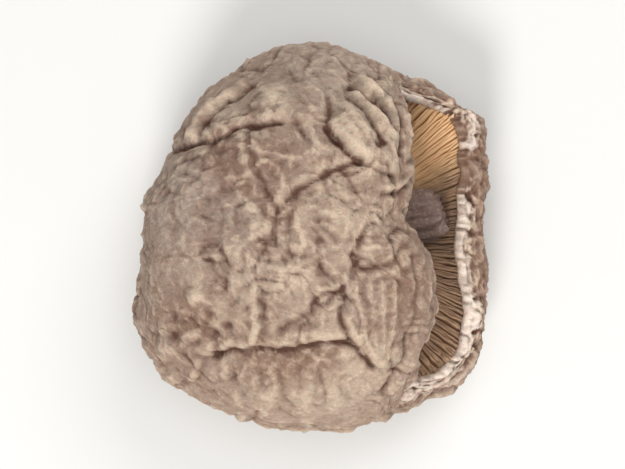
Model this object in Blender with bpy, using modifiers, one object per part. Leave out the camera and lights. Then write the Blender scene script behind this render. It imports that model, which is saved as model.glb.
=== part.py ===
"""Dried shiitake mushroom: one folded, wrinkled cap with its gills and stem, all grown as one piece.

The cap lies on its lower half. Its upper half is folded over from the left (-X) like a shell, and
the mouth between them opens to the right (+X), where the gills and the end of the stem show.
Metres, +Z up, with the origin on the surface under the middle of the mushroom.
"""

import math

import bmesh
import bpy
import numpy as np
from mathutils import Vector, noise

MM = 0.001

# Outer skin, in millimetres, as four lines that run from the fold's back to the lip. Each line has
# the same twelve stations: 0 the fold's back, 9 the widest place of the margin, 11 the lip.
UPPER_LINE = (
    (-23.6, 13.0), (-23.6, 17.8), (-21.4, 22.8), (-16.4, 27.0), (-9.4, 29.8), (-2.0, 30.8),
    (4.4, 30.4), (9.4, 28.8), (12.9, 26.2), (14.3, 23.2), (13.7, 20.6), (11.9, 19.6),
)  # x, z
LOWER_LINE = (
    (-23.6, 13.0), (-23.2, 8.4), (-20.4, 4.6), (-15.0, 1.8), (-8.0, 0.4), (-0.4, 0.0),
    (7.4, 0.4), (14.6, 2.0), (21.0, 4.8), (24.6, 8.4), (24.4, 11.6), (21.9, 12.8),
)  # x, z
FAR_LINE = (
    (-23.6, -2.0), (-22.6, 4.2), (-20.2, 10.6), (-16.8, 16.6), (-12.2, 21.8), (-6.2, 25.4),
    (0.2, 26.8), (5.0, 25.8), (8.8, 24.2), (11.8, 22.4), (12.2, 21.2), (10.9, 20.2),
)  # x, y
NEAR_LINE = (
    (-23.6, -2.0), (-24.6, -7.6), (-24.2, -13.4), (-21.3, -18.8), (-16.0, -22.9), (-9.5, -25.7),
    (-2.8, -26.9), (3.6, -27.0), (8.8, -26.2), (11.4, -24.8), (11.4, -23.4), (10.0, -22.4),
)  # x, y
WAIST = ((0.0, 13.0), (0.6, 13.6), (1.0, 16.0))  # height of the two side lines: station share, z
# How squarely each quarter of the margin swings out from the side lines to the upper and lower line
CORNERS = {"upper far": 5.0, "upper near": 3.6, "lower far": 8.5, "lower near": 5.2}
LIP_SQUARENESS = 1.6  # how many times squarer the lower lip is than the cap below it
LIP_STATIONS = (0.85, 1.0)
# Where the upper margin reaches further right than its line, or less far: y, half-width, shift
UPPER_SHIFTS = ((-9.0, 8.0, 2.6), (3.0, 3.6, -2.0), (14.0, 4.5, -0.9))
SHIFTED_STATIONS = (0.45, 0.85)  # stations between which the shift grows
SHIFTED_RISE = 0.5  # it is full where the skin's direction about the X axis points up by this much
BACK_MIDDLE = -2.0  # y of the fold's back

# Flesh and gills
WALL = ((0.0, 5.6), (0.55, 5.2), (0.75, 3.6), (0.88, 2.4), (1.0, 1.7))  # station share, thickness
GILLS = 54
GILL_HEIGHT = 2.4
GILL_FOLD = (0.08, 0.28)  # station shares between which the gills rise out of the fold
GILL_ENDS = (0.80, 0.93)  # station shares between which they fade out at the margin
GILL_ROOTS = (4.0, 9.0)  # distances, in plan, from the gills' centre between which they rise
GILL_CENTRE = (0.0, -1.5)

# Stem: x, y, z and radius of its line's stations, from the root in the lower half to the cut end
STEM_LINE = (
    (-4.5, -2.0, 4.4, 6.2), (-1.5, -1.6, 7.4, 5.2), (3.0, -0.6, 10.6, 4.4), (9.0, 1.4, 12.8, 3.9),
    (18.2, 3.4, 13.6, 4.1),
)
STEM_SIDES_RESOLUTION = 6

# Deep creases of the upper half, in plan: depth, half-width, then x, y points
CREASES = (
    (1.7, 0.9, (-21.5, 11.6), (-15.2, 12.1), (-12.6, 13.3), (-7.9, 14.6), (-4.1, 15.0)),
    (1.0, 0.7, (-15.2, 14.2), (-13.7, 15.8), (-11.0, 17.7), (-7.9, 19.9)),
    (1.1, 0.7, (-8.7, 14.0), (-8.2, 10.4), (-7.2, 7.7), (-4.5, 3.8), (-4.9, 0.4), (-4.9, -1.8)),
    (1.2, 0.7, (-4.5, 3.8), (0.5, 7.3), (5.8, 10.4)),
    (2.0, 0.8, (3.2, 14.6), (4.7, 11.9), (6.6, 9.6), (9.0, 8.1), (13.4, 6.6)),
    (0.8, 0.6, (-1.4, 14.6), (-0.6, 12.6)),
    (1.1, 0.6, (6.6, -5.0), (8.6, -4.6), (10.8, -4.2), (12.0, -3.0)),
    (1.1, 0.7, (4.3, -7.6), (2.0, -9.5), (-1.0, -11.8), (-3.8, -13.0)),
    (1.2, 0.7, (4.3, -7.6), (4.7, -10.3), (6.6, -15.3), (8.6, -17.6)),
    (1.9, 0.9, (-12.6, -16.1), (-10.6, -15.4), (-7.2, -15.8), (-1.0, -15.1), (5.0, -14.7)),
    (0.8, 0.6, (-6.4, -5.8), (-6.6, -10.6), (-7.0, -14.6)),
    (0.7, 0.5, (5.8, -0.7), (10.6, -0.9)),
)
CREASE_PROFILE = 1.5  # how squarely a crease ends at its sides
# The wad where the far end of the upper margin is bunched up: centre and size in plan, rise
KNOT = (8.6, 14.2)
KNOT_SIZE = (5.0, 6.6)
KNOT_RISE = 1.3
KNOT_SLOPE = (0.65, 1.25)  # shares of its size between which it falls to the skin around it
# The sunken middle of the upper half, inside its swollen margin: centre and size in plan, depth
HOLLOW = (-3.5, -0.8)
HOLLOW_SIZE = (15.0, 14.5)
HOLLOW_DEPTH = 1.5
HOLLOW_SLOPE = (0.55, 1.15)
UPPER_RELIEF = (0.05, 0.45)  # the upward share of the skin's normal between which these all begin

# Finer shape of the skin
SWELL = (0.5, 0.5, 1.3)  # slow swells and hollows of the whole cap, along x, y and z
SWELL_LENGTH = 19.0
SWELL_HEIGHTS = (2.0, 12.0)  # heights between which the upright swells begin
CELL = (0.5, 7.5)  # groove depth and size of the cells that the drying skin breaks up into
CELL_GROOVE = 0.10  # half-width of their grooves, as a share of their size
MARGIN_FOLDS = 44
MARGIN_FOLD_DEPTH = 0.22
MARGIN_FOLD_STATIONS = ((0.70, 0.86), (0.9, 1.0))  # where the folds rise, and where they ease off
# How far a slow wobble bends the cells, the creases, the sunken middle's edge and the margin folds
WOBBLE_LENGTH = 6.0
WOBBLE = {"cells": 1.6, "creases": 0.5, "hollow": 0.12, "folds": 5.0}
LIP_RELIEF = 0.35  # share of the relief that runs on round the lip
SEED = Vector((3.1, 7.7, 1.9))

# The mesh
RINGS = 160
COLUMNS = 360
SKIN_SHARE = 0.58  # share of the rings that lie on the outer skin
LIP_SHARE = 0.02  # share of the rings that turn over the lip
GRAIN = 0.42  # size of the grid on which the flesh of cap and stem is joined
TRIANGLES = 10000
REST_SPOT = (-1.0, -0.5, 9.5)  # x, y and radius of the smooth patch that the cap lies on
REST_FADE = (0.7, 1.4)  # shares of that radius between which the relief begins
REST_CUT = 0.35
SHARP_EDGE = math.radians(50)


def smooth_line(points, share):
    """Reads a smooth curve through evenly spaced stations, at shares of its length from 0 to 1."""
    points = np.array(points, float)
    slopes = np.gradient(points, axis=0)
    place = np.clip(share, 0, 1) * (len(points) - 1)
    start = np.minimum(place.astype(int), len(points) - 2)
    t = (place - start)[:, None]
    a, b = points[start], points[start + 1]
    da, db = slopes[start], slopes[start + 1]
    return (
        a * (1 + 2 * t) * (1 - t) ** 2
        + da * t * (1 - t) ** 2
        + b * (3 - 2 * t) * t**2
        - db * t**2 * (1 - t)
    )


def ramp(value, low, high):
    """0 below low, 1 above high, and smooth between them."""
    t = np.clip((value - low) / (high - low), 0, 1)
    return t * t * (3 - 2 * t)


def skin_point(station, turn):
    """A point of the outer skin: station runs from the fold's back to the lip, turn about the X axis."""
    upper = smooth_line(UPPER_LINE, station)
    lower = smooth_line(LOWER_LINE, station)
    far = smooth_line(FAR_LINE, station)
    near = smooth_line(NEAR_LINE, station)
    across, up = np.cos(turn), np.sin(turn)
    side = np.where((across > 0)[:, None], far, near)
    face = np.where((up > 0)[:, None], upper, lower)
    corner = np.where(
        up > 0,
        np.where(across > 0, CORNERS["upper far"], CORNERS["upper near"]),
        np.where(across > 0, CORNERS["lower far"], CORNERS["lower near"]),
    )
    squarer = 1 + (LIP_SQUARENESS - 1) * ramp(station, *LIP_STATIONS)
    swing = 1 - np.abs(across) ** np.where(up > 0, corner, corner * squarer)
    middle = BACK_MIDDLE * (1 - station)
    y = middle + (side[:, 1] - middle) * np.abs(across)
    x = side[:, 0] + (face[:, 0] - side[:, 0]) * swing
    for place, half_width, shift in UPPER_SHIFTS:
        hump = np.exp(-(((y - place) / half_width) ** 2))
        x = x + shift * hump * ramp(station, *SHIFTED_STATIONS) * ramp(up, 0.0, SHIFTED_RISE)
    waist = np.interp(station, *zip(*WAIST))
    z = waist + (face[:, 1] - waist) * np.abs(up)
    return np.stack([x, y, z], axis=1)


def skin_frame(station, turn):
    """The skin's points, their outward normals, and the direction in which the skin runs to the lip."""
    step = 0.004
    station = np.clip(station, 2 * step, 1)
    along = skin_point(station, turn) - skin_point(station - step, turn)
    around = skin_point(station, turn + step) - skin_point(station, turn - step)
    normal = np.cross(around, along)
    normal /= np.linalg.norm(normal, axis=1)[:, None]
    along /= np.linalg.norm(along, axis=1)[:, None]
    return skin_point(station, turn), normal, along


def distance_to(points, path):
    """Distance, in plan, from each point to a path of straight pieces."""
    nearest = np.full(len(points), np.inf)
    for start, end in zip(np.array(path[:-1]), np.array(path[1:])):
        run = end - start
        share = np.clip((points - start) @ run / (run @ run), 0, 1)
        nearest = np.minimum(nearest, np.linalg.norm(points - start - share[:, None] * run, axis=1))
    return nearest


def noise_of(points, size):
    """Smooth noise from about -1 to 1, with features of the given size."""
    return np.array([noise.noise(Vector(p) / size + SEED) for p in points])


def cell_edges(points, size):
    """0 on the borders of irregular cells of the given size, and rising towards their middles."""
    found = [noise.voronoi(Vector(p) / size + SEED)[0] for p in points]
    return np.array([near[1] - near[0] for near in found])


def skin_relief(points, normals, station, turn):
    """How far the skin stands out from its smooth form: creases, cells, the knot and margin folds."""
    plan = points[:, :2]
    upper = ramp(normals[:, 2], *UPPER_RELIEF)
    wobble = np.stack([noise_of(points, WOBBLE_LENGTH), noise_of(points[:, ::-1], WOBBLE_LENGTH)], axis=1)
    bent = points + WOBBLE["cells"] * np.c_[wobble, wobble[:, 0]]
    relief = -CELL[0] * np.exp(-cell_edges(bent, CELL[1]) / CELL_GROOVE)
    for depth, half_width, *path in CREASES:
        away = distance_to(plan + WOBBLE["creases"] * wobble, path) / half_width
        relief -= depth * upper * np.exp(-(away**CREASE_PROFILE))
    reach = np.linalg.norm((plan - KNOT) / KNOT_SIZE, axis=1)
    relief += KNOT_RISE * upper * (1 - ramp(reach, *KNOT_SLOPE))
    inward = np.linalg.norm((plan - HOLLOW) / HOLLOW_SIZE + WOBBLE["hollow"] * wobble, axis=1)
    relief -= HOLLOW_DEPTH * upper * (1 - ramp(inward, *HOLLOW_SLOPE))
    rise, ease = MARGIN_FOLD_STATIONS
    folds = np.cos(turn * MARGIN_FOLDS + WOBBLE["folds"] * wobble[:, 0])
    relief += MARGIN_FOLD_DEPTH * folds * ramp(station, *rise) * (1 - 0.6 * ramp(station, *ease))
    from_rest = np.linalg.norm(plan - REST_SPOT[:2], axis=1) / REST_SPOT[2]
    return relief * np.where(normals[:, 2] < 0, ramp(from_rest, *REST_FADE), 1)


def gill_ridges(points, station):
    """How far the gills stand up from the flesh: ridges that radiate from the stem's root."""
    away = points[:, :2] - GILL_CENTRE
    angle = np.arctan2(away[:, 1], away[:, 0])
    height = GILL_HEIGHT * ramp(np.linalg.norm(away, axis=1), *GILL_ROOTS)
    height *= ramp(station, *GILL_FOLD) * (1 - ramp(station, *GILL_ENDS))
    return height * (0.5 + 0.5 * np.cos(GILLS * angle))


def swell(points):
    """Slow swells of the whole cap, as an offset of each point, fading out towards the surface below."""
    rolled = (np.roll(points, shift, axis=1) for shift in range(3))
    offset = np.stack([noise_of(spot, SWELL_LENGTH) for spot in rolled], axis=1) * SWELL
    offset[:, 2] *= ramp(points[:, 2], *SWELL_HEIGHTS)
    return points + offset


def make_cap():
    """A sphere whose rings are laid along the skin to the lip, and back inside along the gills."""
    mesh = bmesh.new()
    bmesh.ops.create_uvsphere(mesh, u_segments=COLUMNS, v_segments=RINGS, radius=1)
    ball = np.array([vertex.co for vertex in mesh.verts])
    ring = np.arccos(np.clip(ball[:, 2], -1, 1)) / math.pi
    turn = np.arctan2(ball[:, 1], ball[:, 0])
    lip_end = SKIN_SHARE + LIP_SHARE
    station = np.where(ring < SKIN_SHARE, ring / SKIN_SHARE, np.clip((1 - ring) / (1 - lip_end), 0, 1))
    over = math.pi * np.clip((ring - SKIN_SHARE) / LIP_SHARE, 0, 1)

    points, normals, along = skin_frame(station, turn)
    outside = np.cos(over / 2)[:, None] ** 2
    relief = skin_relief(points, normals, station, turn)[:, None]
    wall = np.interp(station, *zip(*WALL))[:, None]
    gills = gill_ridges(points, station)[:, None]
    edge = np.cos(over)[:, None] * normals + np.sin(over)[:, None] * along
    moved = points - normals * wall / 2 + edge * wall / 2
    relief *= LIP_RELIEF + (1 - LIP_RELIEF) * outside
    moved += normals * (relief - gills * (1 - outside))
    for vertex, place in zip(mesh.verts, swell(moved) * MM):
        vertex.co = place
    return finished("cap", mesh)


def make_stem():
    """The stem stub, a bent tube that is thickest at its root in the flesh."""
    curve = bpy.data.curves.new("stem", "CURVE")
    curve.dimensions = "3D"
    curve.bevel_depth = MM
    curve.bevel_resolution = STEM_SIDES_RESOLUTION
    curve.resolution_u = 3
    curve.use_fill_caps = True
    line = curve.splines.new("NURBS")
    line.points.add(len(STEM_LINE) - 1)
    line.use_endpoint_u = True
    line.order_u = 3
    for point, (x, y, z, radius) in zip(line.points, STEM_LINE):
        point.co = (x * MM, y * MM, z * MM, 1)
        point.radius = radius
    holder = bpy.data.objects.new("stem", curve)
    bpy.context.scene.collection.objects.link(holder)
    bpy.context.view_layer.update()
    shape = bpy.data.meshes.new_from_object(holder.evaluated_get(bpy.context.evaluated_depsgraph_get()))
    bpy.data.objects.remove(holder)
    mesh = bmesh.new()
    mesh.from_mesh(shape)
    bmesh.ops.remove_doubles(mesh, verts=mesh.verts, dist=0.01 * MM)
    return finished("stem", mesh)


def finished(name, mesh):
    """Turns a bmesh into an object of the scene, with its faces pointing out."""
    bmesh.ops.recalc_face_normals(mesh, faces=mesh.faces)
    data = bpy.data.meshes.new(name)
    mesh.to_mesh(data)
    mesh.free()
    made = bpy.data.objects.new(name, data)
    bpy.context.scene.collection.objects.link(made)
    return made


def with_modifiers(shape):
    """Applies the object's modifiers to its mesh."""
    bpy.context.view_layer.update()
    data = bpy.data.meshes.new_from_object(shape.evaluated_get(bpy.context.evaluated_depsgraph_get()))
    shape.modifiers.clear()
    shape.data = data


def skin_material():
    """Matt brown of the dried skin."""
    material = bpy.data.materials.new("dried_skin")
    material.use_nodes = True
    shader = material.node_tree.nodes["Principled BSDF"]
    shader.inputs["Base Color"].default_value = (0.30, 0.21, 0.15, 1)
    shader.inputs["Roughness"].default_value = 0.85
    shader.inputs["Metallic"].default_value = 0.0
    return material


def make_mushroom():
    """Cap and stem grown into one solid, with a moderate number of faces, set on its flat spot."""
    mushroom = make_cap()
    stem = make_stem()
    both = bmesh.new()
    both.from_mesh(mushroom.data)
    both.from_mesh(stem.data)
    both.to_mesh(mushroom.data)
    both.free()
    bpy.data.objects.remove(stem)
    grown = mushroom.modifiers.new("flesh grown together", "REMESH")
    grown.mode = "VOXEL"
    grown.voxel_size = GRAIN * MM
    with_modifiers(mushroom)
    fewer = mushroom.modifiers.new("fewer faces", "DECIMATE")
    fewer.ratio = TRIANGLES / (2 * len(mushroom.data.polygons))
    fewer.use_collapse_triangulate = True
    with_modifiers(mushroom)

    mesh = bmesh.new()
    mesh.from_mesh(mushroom.data)
    bpy.data.objects.remove(mushroom)
    lowest = min(vertex.co.z for vertex in mesh.verts)
    floor = Vector((0, 0, lowest + REST_CUT * MM))
    everything = mesh.verts[:] + mesh.edges[:] + mesh.faces[:]
    cut = bmesh.ops.bisect_plane(mesh, geom=everything, plane_co=floor, plane_no=(0, 0, 1), clear_inner=True)
    rim = [item for item in cut["geom_cut"] if isinstance(item, bmesh.types.BMEdge)]
    bmesh.ops.contextual_create(mesh, geom=rim)
    bmesh.ops.triangulate(mesh, faces=mesh.faces)
    places = np.array([vertex.co for vertex in mesh.verts])
    middle = (places.min(axis=0) + places.max(axis=0)) / 2
    bmesh.ops.translate(mesh, verts=mesh.verts, vec=(-middle[0], -middle[1], -floor.z))
    mushroom = finished("mushroom", mesh)
    mushroom.data.materials.append(skin_material())
    mushroom.data.shade_smooth()
    mushroom.data.set_sharp_from_angle(angle=SHARP_EDGE)
    return mushroom


for old in list(bpy.data.objects):
    bpy.data.objects.remove(old)
dried_shiitake = bpy.data.collections.new("dried shiitake")
bpy.context.scene.collection.children.link(dried_shiitake)
whole = make_mushroom()
bpy.context.scene.collection.objects.unlink(whole)
dried_shiitake.objects.link(whole)
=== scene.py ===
import math

import bpy
import numpy as np
from bpy.props import FloatProperty, FloatVectorProperty, IntProperty, PointerProperty
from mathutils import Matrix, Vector, noise
from mathutils.bvhtree import BVHTree


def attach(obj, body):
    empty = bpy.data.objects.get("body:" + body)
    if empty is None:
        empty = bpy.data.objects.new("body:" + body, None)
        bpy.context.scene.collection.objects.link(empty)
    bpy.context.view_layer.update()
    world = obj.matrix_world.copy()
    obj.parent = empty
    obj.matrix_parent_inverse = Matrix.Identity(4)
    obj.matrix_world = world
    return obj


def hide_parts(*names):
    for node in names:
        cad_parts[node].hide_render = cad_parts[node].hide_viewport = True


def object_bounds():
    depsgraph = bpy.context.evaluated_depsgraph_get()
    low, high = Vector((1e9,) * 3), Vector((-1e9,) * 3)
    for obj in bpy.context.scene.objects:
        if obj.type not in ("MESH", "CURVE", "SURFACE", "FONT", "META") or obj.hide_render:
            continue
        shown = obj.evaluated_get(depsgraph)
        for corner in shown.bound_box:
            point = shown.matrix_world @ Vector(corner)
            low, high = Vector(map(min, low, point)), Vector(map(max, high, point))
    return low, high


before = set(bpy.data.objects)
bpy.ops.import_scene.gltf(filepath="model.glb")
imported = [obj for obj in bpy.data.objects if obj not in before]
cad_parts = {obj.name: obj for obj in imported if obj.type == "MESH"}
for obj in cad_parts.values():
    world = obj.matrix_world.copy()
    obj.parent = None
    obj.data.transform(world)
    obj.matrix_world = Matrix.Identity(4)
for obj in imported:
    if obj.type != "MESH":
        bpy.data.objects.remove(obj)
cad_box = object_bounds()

bl_info = {
    "name": "Dried shiitake mushroom",
    "version": (1, 0, 0),
    "blender": (4, 5, 0),
    "location": "3D View > Sidebar > Mushroom",
    "description": "A folded, wrinkled dried shiitake with its gills and stem stub, on a pale floor",
    "category": "Object",
}

MM = 0.001
NODE = "mushroom"
BODY = "root"

# Form of the cap, in millimetres, as in the part: four lines from the fold's back to the lip, each
# with the same twelve stations. 0 is the fold's back, 9 the widest place of the margin, 11 the lip.
UPPER_LINE = (
    (-23.6, 13.0), (-23.6, 17.8), (-21.4, 22.8), (-16.4, 27.0), (-9.4, 29.8), (-2.0, 30.8),
    (4.4, 30.4), (9.4, 28.8), (12.9, 26.2), (14.3, 23.2), (13.7, 20.6), (11.9, 19.6),
)  # x, z
LOWER_LINE = (
    (-23.6, 13.0), (-23.2, 8.4), (-20.4, 4.6), (-15.0, 1.8), (-8.0, 0.4), (-0.4, 0.0),
    (7.4, 0.4), (14.6, 2.0), (21.0, 4.8), (24.6, 8.4), (24.4, 11.6), (21.9, 12.8),
)  # x, z
FAR_LINE = (
    (-23.6, -2.0), (-22.6, 4.2), (-20.2, 10.6), (-16.8, 16.6), (-12.2, 21.8), (-6.2, 25.4),
    (0.2, 26.8), (5.0, 25.8), (8.8, 24.2), (11.8, 22.4), (12.2, 21.2), (10.9, 20.2),
)  # x, y
NEAR_LINE = (
    (-23.6, -2.0), (-24.6, -7.6), (-24.2, -13.4), (-21.3, -18.8), (-16.0, -22.9), (-9.5, -25.7),
    (-2.8, -26.9), (3.6, -27.0), (8.8, -26.2), (11.4, -24.8), (11.4, -23.4), (10.0, -22.4),
)  # x, y
WAIST = ((0.0, 13.0), (0.6, 13.6), (1.0, 16.0))  # height of the two side lines: station share, z
# How square the outline is at its four corners: the power in x = 1 - y**power
CORNERS = {"upper far": 5.0, "upper near": 3.6, "lower far": 8.5, "lower near": 5.2}
LIP_SQUARENESS = 1.6  # how much squarer the corners of the lower half are at the lip
LIP_STATIONS = (0.85, 1.0)
# Where the upper half reaches further out to the right, or less far: y, half-width, shift
UPPER_SHIFTS = ((-9.0, 8.0, 2.6), (3.0, 3.6, -2.0), (14.0, 4.5, -0.9))
WALL = ((0.0, 5.6), (0.55, 5.2), (0.75, 3.6), (0.88, 2.4), (1.0, 1.7))  # station share, thickness
GILL_CENTRE = (0.0, -1.5)
STEM_LINE = (
    (-4.5, -2.0, 4.4, 6.2), (-1.5, -1.6, 7.4, 5.2), (3.0, -0.6, 10.6, 4.4), (9.0, 1.4, 12.8, 3.9),
    (18.2, 3.4, 13.6, 4.1),
)  # x, y, z, radius
SWELL = (0.5, 0.5, 1.3)
SWELL_LENGTH = 19.0
CELL_DEPTH = 0.5
CELL_SIZE = 7.5
KNOT = (8.6, 14.2)  # the middle of the wad of skin at the upper right
KNOT_SIZE = (5.0, 6.6)
KNOT_RISE = 1.3
KNOT_SLOPE = (0.65, 1.25)
HOLLOW = (-3.5, -0.8)  # the sunken middle
HOLLOW_SIZE = (15.0, 14.5)
HOLLOW_DEPTH = 1.5
REST_SPOT = (-1.0, -0.5, 9.5)  # x, y, radius
GILL_LEAN = 0.8  # how far the dried gills lean over, anticlockwise
# Degrees round the stem where the painted shade on the gills, an olive brown, begins, is full, starts to
# fade and ends
SHADED_GILLS = (-80.0, -60.0, 20.0, 34.0)
FORM_ORIGIN = (0.295, 0.012, 0.366)  # where the part's own origin lies among these numbers
SEED = Vector((3.1, 7.7, 1.9))

# Creases of the faces that look up, in plan: those of the upper half, and at the right those of the
# lower half's rim. Each has its depth, half-width, the height of the swollen edge beside it, and x, y
# points. The swollen edge lies on the left of the path, or on its right where it is negative.
CREASES = (
    (1.1, 0.45, 0.3, (-21.5, 11.0), (-17.0, 11.8), (-15.0, 12.3), (-13.0, 12.6), (-11.0, 13.7),
     (-9.0, 14.4), (-7.3, 14.5), (-4.3, 14.8)),
    (0.8, 0.4, 0.4, (-15.2, 13.4), (-14.6, 15.0), (-13.0, 16.6), (-11.5, 17.6), (-10.0, 18.6),
     (-8.0, 20.4)),
    (0.6, 0.4, -0.15, (-8.3, 14.2), (-8.6, 12.0), (-8.0, 9.8), (-7.3, 8.2), (-6.3, 6.4), (-5.2, 4.0)),
    (0.4, 0.5, 0.0, (-5.0, 3.4), (-4.9, 1.0), (-5.1, -1.8)),
    (0.8, 0.4, 0.2, (-5.0, 3.0), (-3.6, 4.2), (-2.0, 5.9), (-1.0, 6.3), (0.5, 7.2), (2.0, 8.1),
     (4.0, 8.9), (5.8, 9.5)),
    (0.5, 0.45, 0.0, (2.3, 18.4), (2.2, 16.6), (2.1, 14.8)),
    (1.5, 0.42, 0.15, (2.0, 14.2), (2.9, 12.9), (3.8, 12.0), (5.0, 10.6), (6.3, 9.3)),
    (0.8, 0.42, 0.0, (6.3, 9.3), (7.8, 8.6), (9.2, 8.1), (11.0, 7.6)),
    (0.7, 0.45, 0.0, (9.6, 5.0), (11.4, 5.0), (13.2, 5.8)),
    (0.6, 0.4, 0.1, (-2.2, 14.8), (-1.5, 13.8), (-0.8, 12.4)),
    (0.7, 0.4, -0.2, (5.8, -2.4), (6.8, -4.5), (8.5, -4.7), (10.5, -4.3), (11.5, -3.4), (12.6, -1.6)),
    (0.65, 0.6, -0.2, (4.5, -7.3), (3.0, -8.8), (1.5, -9.5), (0.0, -11.0), (-1.5, -11.8),
     (-3.8, -13.0)),
    (0.9, 0.4, 0.25, (4.6, -7.3), (4.8, -9.0), (4.2, -11.0), (4.6, -12.5), (5.6, -14.5), (7.2, -16.5),
     (8.6, -18.0)),
    (1.2, 0.45, 0.25, (-12.6, -16.6), (-11.0, -15.9), (-9.5, -15.9), (-7.0, -15.8), (-3.5, -15.9),
     (-1.0, -15.4), (1.0, -15.0), (3.0, -14.7), (5.4, -14.8)),
    (0.12, 0.35, -0.2, (-6.4, -5.6), (-6.7, -8.5), (-6.3, -11.5), (-6.6, -14.4)),
    (0.3, 0.35, 0.1, (5.8, -0.7), (8.0, -0.4), (10.6, -0.9)),
    (1.1, 0.42, 0.0, (5.4, 20.0), (7.0, 18.6), (8.4, 17.2), (9.9, 15.4), (10.8, 13.6)),
    (1.0, 0.45, 0.0, (4.9, 18.4), (6.3, 16.9), (7.3, 15.2), (8.5, 13.4), (9.2, 11.8)),
    (1.1, 0.40, 0.0, (8.4, 21.6), (9.6, 20.0), (10.9, 18.3), (11.7, 16.0), (11.9, 13.2), (11.5, 10.4)),
    (0.35, 0.3, 0.0, (3.6, 16.8), (4.9, 14.9), (6.2, 13.2), (7.3, 11.7)),
    (0.7, 1.6, 0.0, (-9.0, -16.6), (-5.0, -16.7), (-1.0, -16.2), (3.4, -15.8)),
    (0.5, 0.4, 0.0, (-15.8, -16.6), (-14.4, -17.0), (-12.8, -16.8)),
    (0.7, 0.45, 0.0, (20.3, 17.6), (20.9, 15.4), (21.2, 13.0), (20.9, 10.6)),
    (0.6, 0.40, 0.0, (20.0, 9.8), (21.2, 8.4), (22.8, 7.0)),
    (0.6, 0.40, 0.0, (20.2, 7.2), (21.4, 6.2), (22.8, 4.8)),
    (0.7, 0.4, 0.15, (13.0, -13.4), (12.8, -16.5), (11.5, -18.5), (9.8, -21.4)),
    (0.4, 0.35, 0.1, (13.6, -3.0), (14.0, -6.0), (14.0, -10.0), (13.6, -14.6)),
    (0.30, 0.35, 0.0, (1.3, -18.2), (1.6, -20.5), (2.0, -22.4)),
    (0.22, 0.35, 0.0, (-10.5, -17.4), (-10.1, -19.6), (-9.0, -21.4)),
    (0.22, 0.35, 0.0, (-6.9, -17.6), (-6.6, -19.8), (-7.6, -21.6)),
    (0.22, 0.35, 0.0, (-4.2, -18.2), (-4.0, -20.8)),
    (0.22, 0.35, 0.0, (-1.5, -18.0), (-1.4, -20.6)),
    (0.4, 0.4, 0.0, (-2.0, 5.5), (-3.0, 1.6), (-3.4, -1.4), (-2.2, -4.2)),
    (0.35, 0.55, 0.0, (1.0, -1.0), (1.2, -3.0), (1.8, -5.0), (3.4, -6.2)),
    (0.35, 0.55, 0.0, (1.2, -1.0), (3.0, -1.3), (5.0, -1.0), (6.8, -0.7)),
    (0.35, 0.55, 0.0, (6.9, 0.4), (6.6, -1.4), (6.2, -3.0), (6.2, -4.8)),
    (0.35, 0.55, 0.0, (-3.4, -2.9), (-1.4, -3.2), (0.8, -2.8)),
    (0.35, 0.55, 0.0, (0.6, 4.6), (0.8, 2.6), (1.8, 0.8), (3.4, -0.6)),
)
# Ridges of the same faces: height, half-width, then x, y points
RIDGES = (
    (0.5, 0.6, (-16.2, 13.4), (-14.9, 16.0), (-12.8, 17.6), (-11.0, 18.8)),
    (0.45, 0.5, (-7.2, -5.0), (-7.8, -8.0), (-7.7, -11.0), (-7.8, -14.6)),
    (1.1, 0.55, (6.7, 21.2), (7.4, 20.4), (8.6, 19.1), (10.0, 17.3)),
    (0.8, 0.5, (6.0, 18.8), (7.4, 17.2), (8.7, 15.6), (9.8, 14.2), (10.6, 12.8)),
    (0.3, 0.8, (3.3, 18.2), (4.6, 16.0), (6.0, 13.9), (7.6, 11.9), (9.0, 10.2)),
    (0.55, 0.3, (2.7, 14.8), (3.6, 13.6), (4.9, 12.1), (6.2, 10.8), (7.4, 9.8)),
    (0.3, 0.25, (4.2, 17.6), (5.4, 15.9), (6.8, 13.9), (8.0, 12.2)),
    (0.4, 0.35, (12.7, 17.0), (12.8, 14.5), (12.7, 12.0), (12.7, 10.2)),
    (0.4, 0.3, (9.6, 12.4), (10.4, 11.0), (10.9, 9.4)),
    (0.8, 0.4, (13.0, 8.9), (13.1, 7.9), (12.6, 6.9), (11.6, 6.1), (10.2, 5.9)),
    (0.5, 0.45, (22.4, 17.8), (22.9, 16.0), (23.0, 14.0), (22.7, 12.0)),
    (0.5, 0.5, (19.8, 5.4), (20.7, 2.0), (20.3, -2.0), (20.6, -5.0), (21.3, -8.0), (22.3, -11.4)),
    (0.35, 0.5, (-3.2, -13.6), (0.0, -13.4), (4.4, -13.8)),
    (0.3, 0.35, (6.2, -6.5), (6.6, -10.0), (7.8, -14.4), (9.2, -17.6)),
    (0.3, 0.35, (8.0, -6.2), (8.1, -10.0), (8.9, -14.4), (9.6, -17.6)),
    (0.3, 0.35, (9.6, -6.0), (9.6, -10.2), (9.8, -14.4), (9.9, -17.4)),
    (0.3, 0.35, (11.2, -6.2), (11.2, -10.0), (10.8, -14.6), (10.3, -17.6)),
    (0.4, 0.45, (15.7, -3.6), (15.8, -8.0), (15.6, -11.5), (14.6, -15.6), (12.6, -19.4), (10.4, -22.0)),
)
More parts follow.
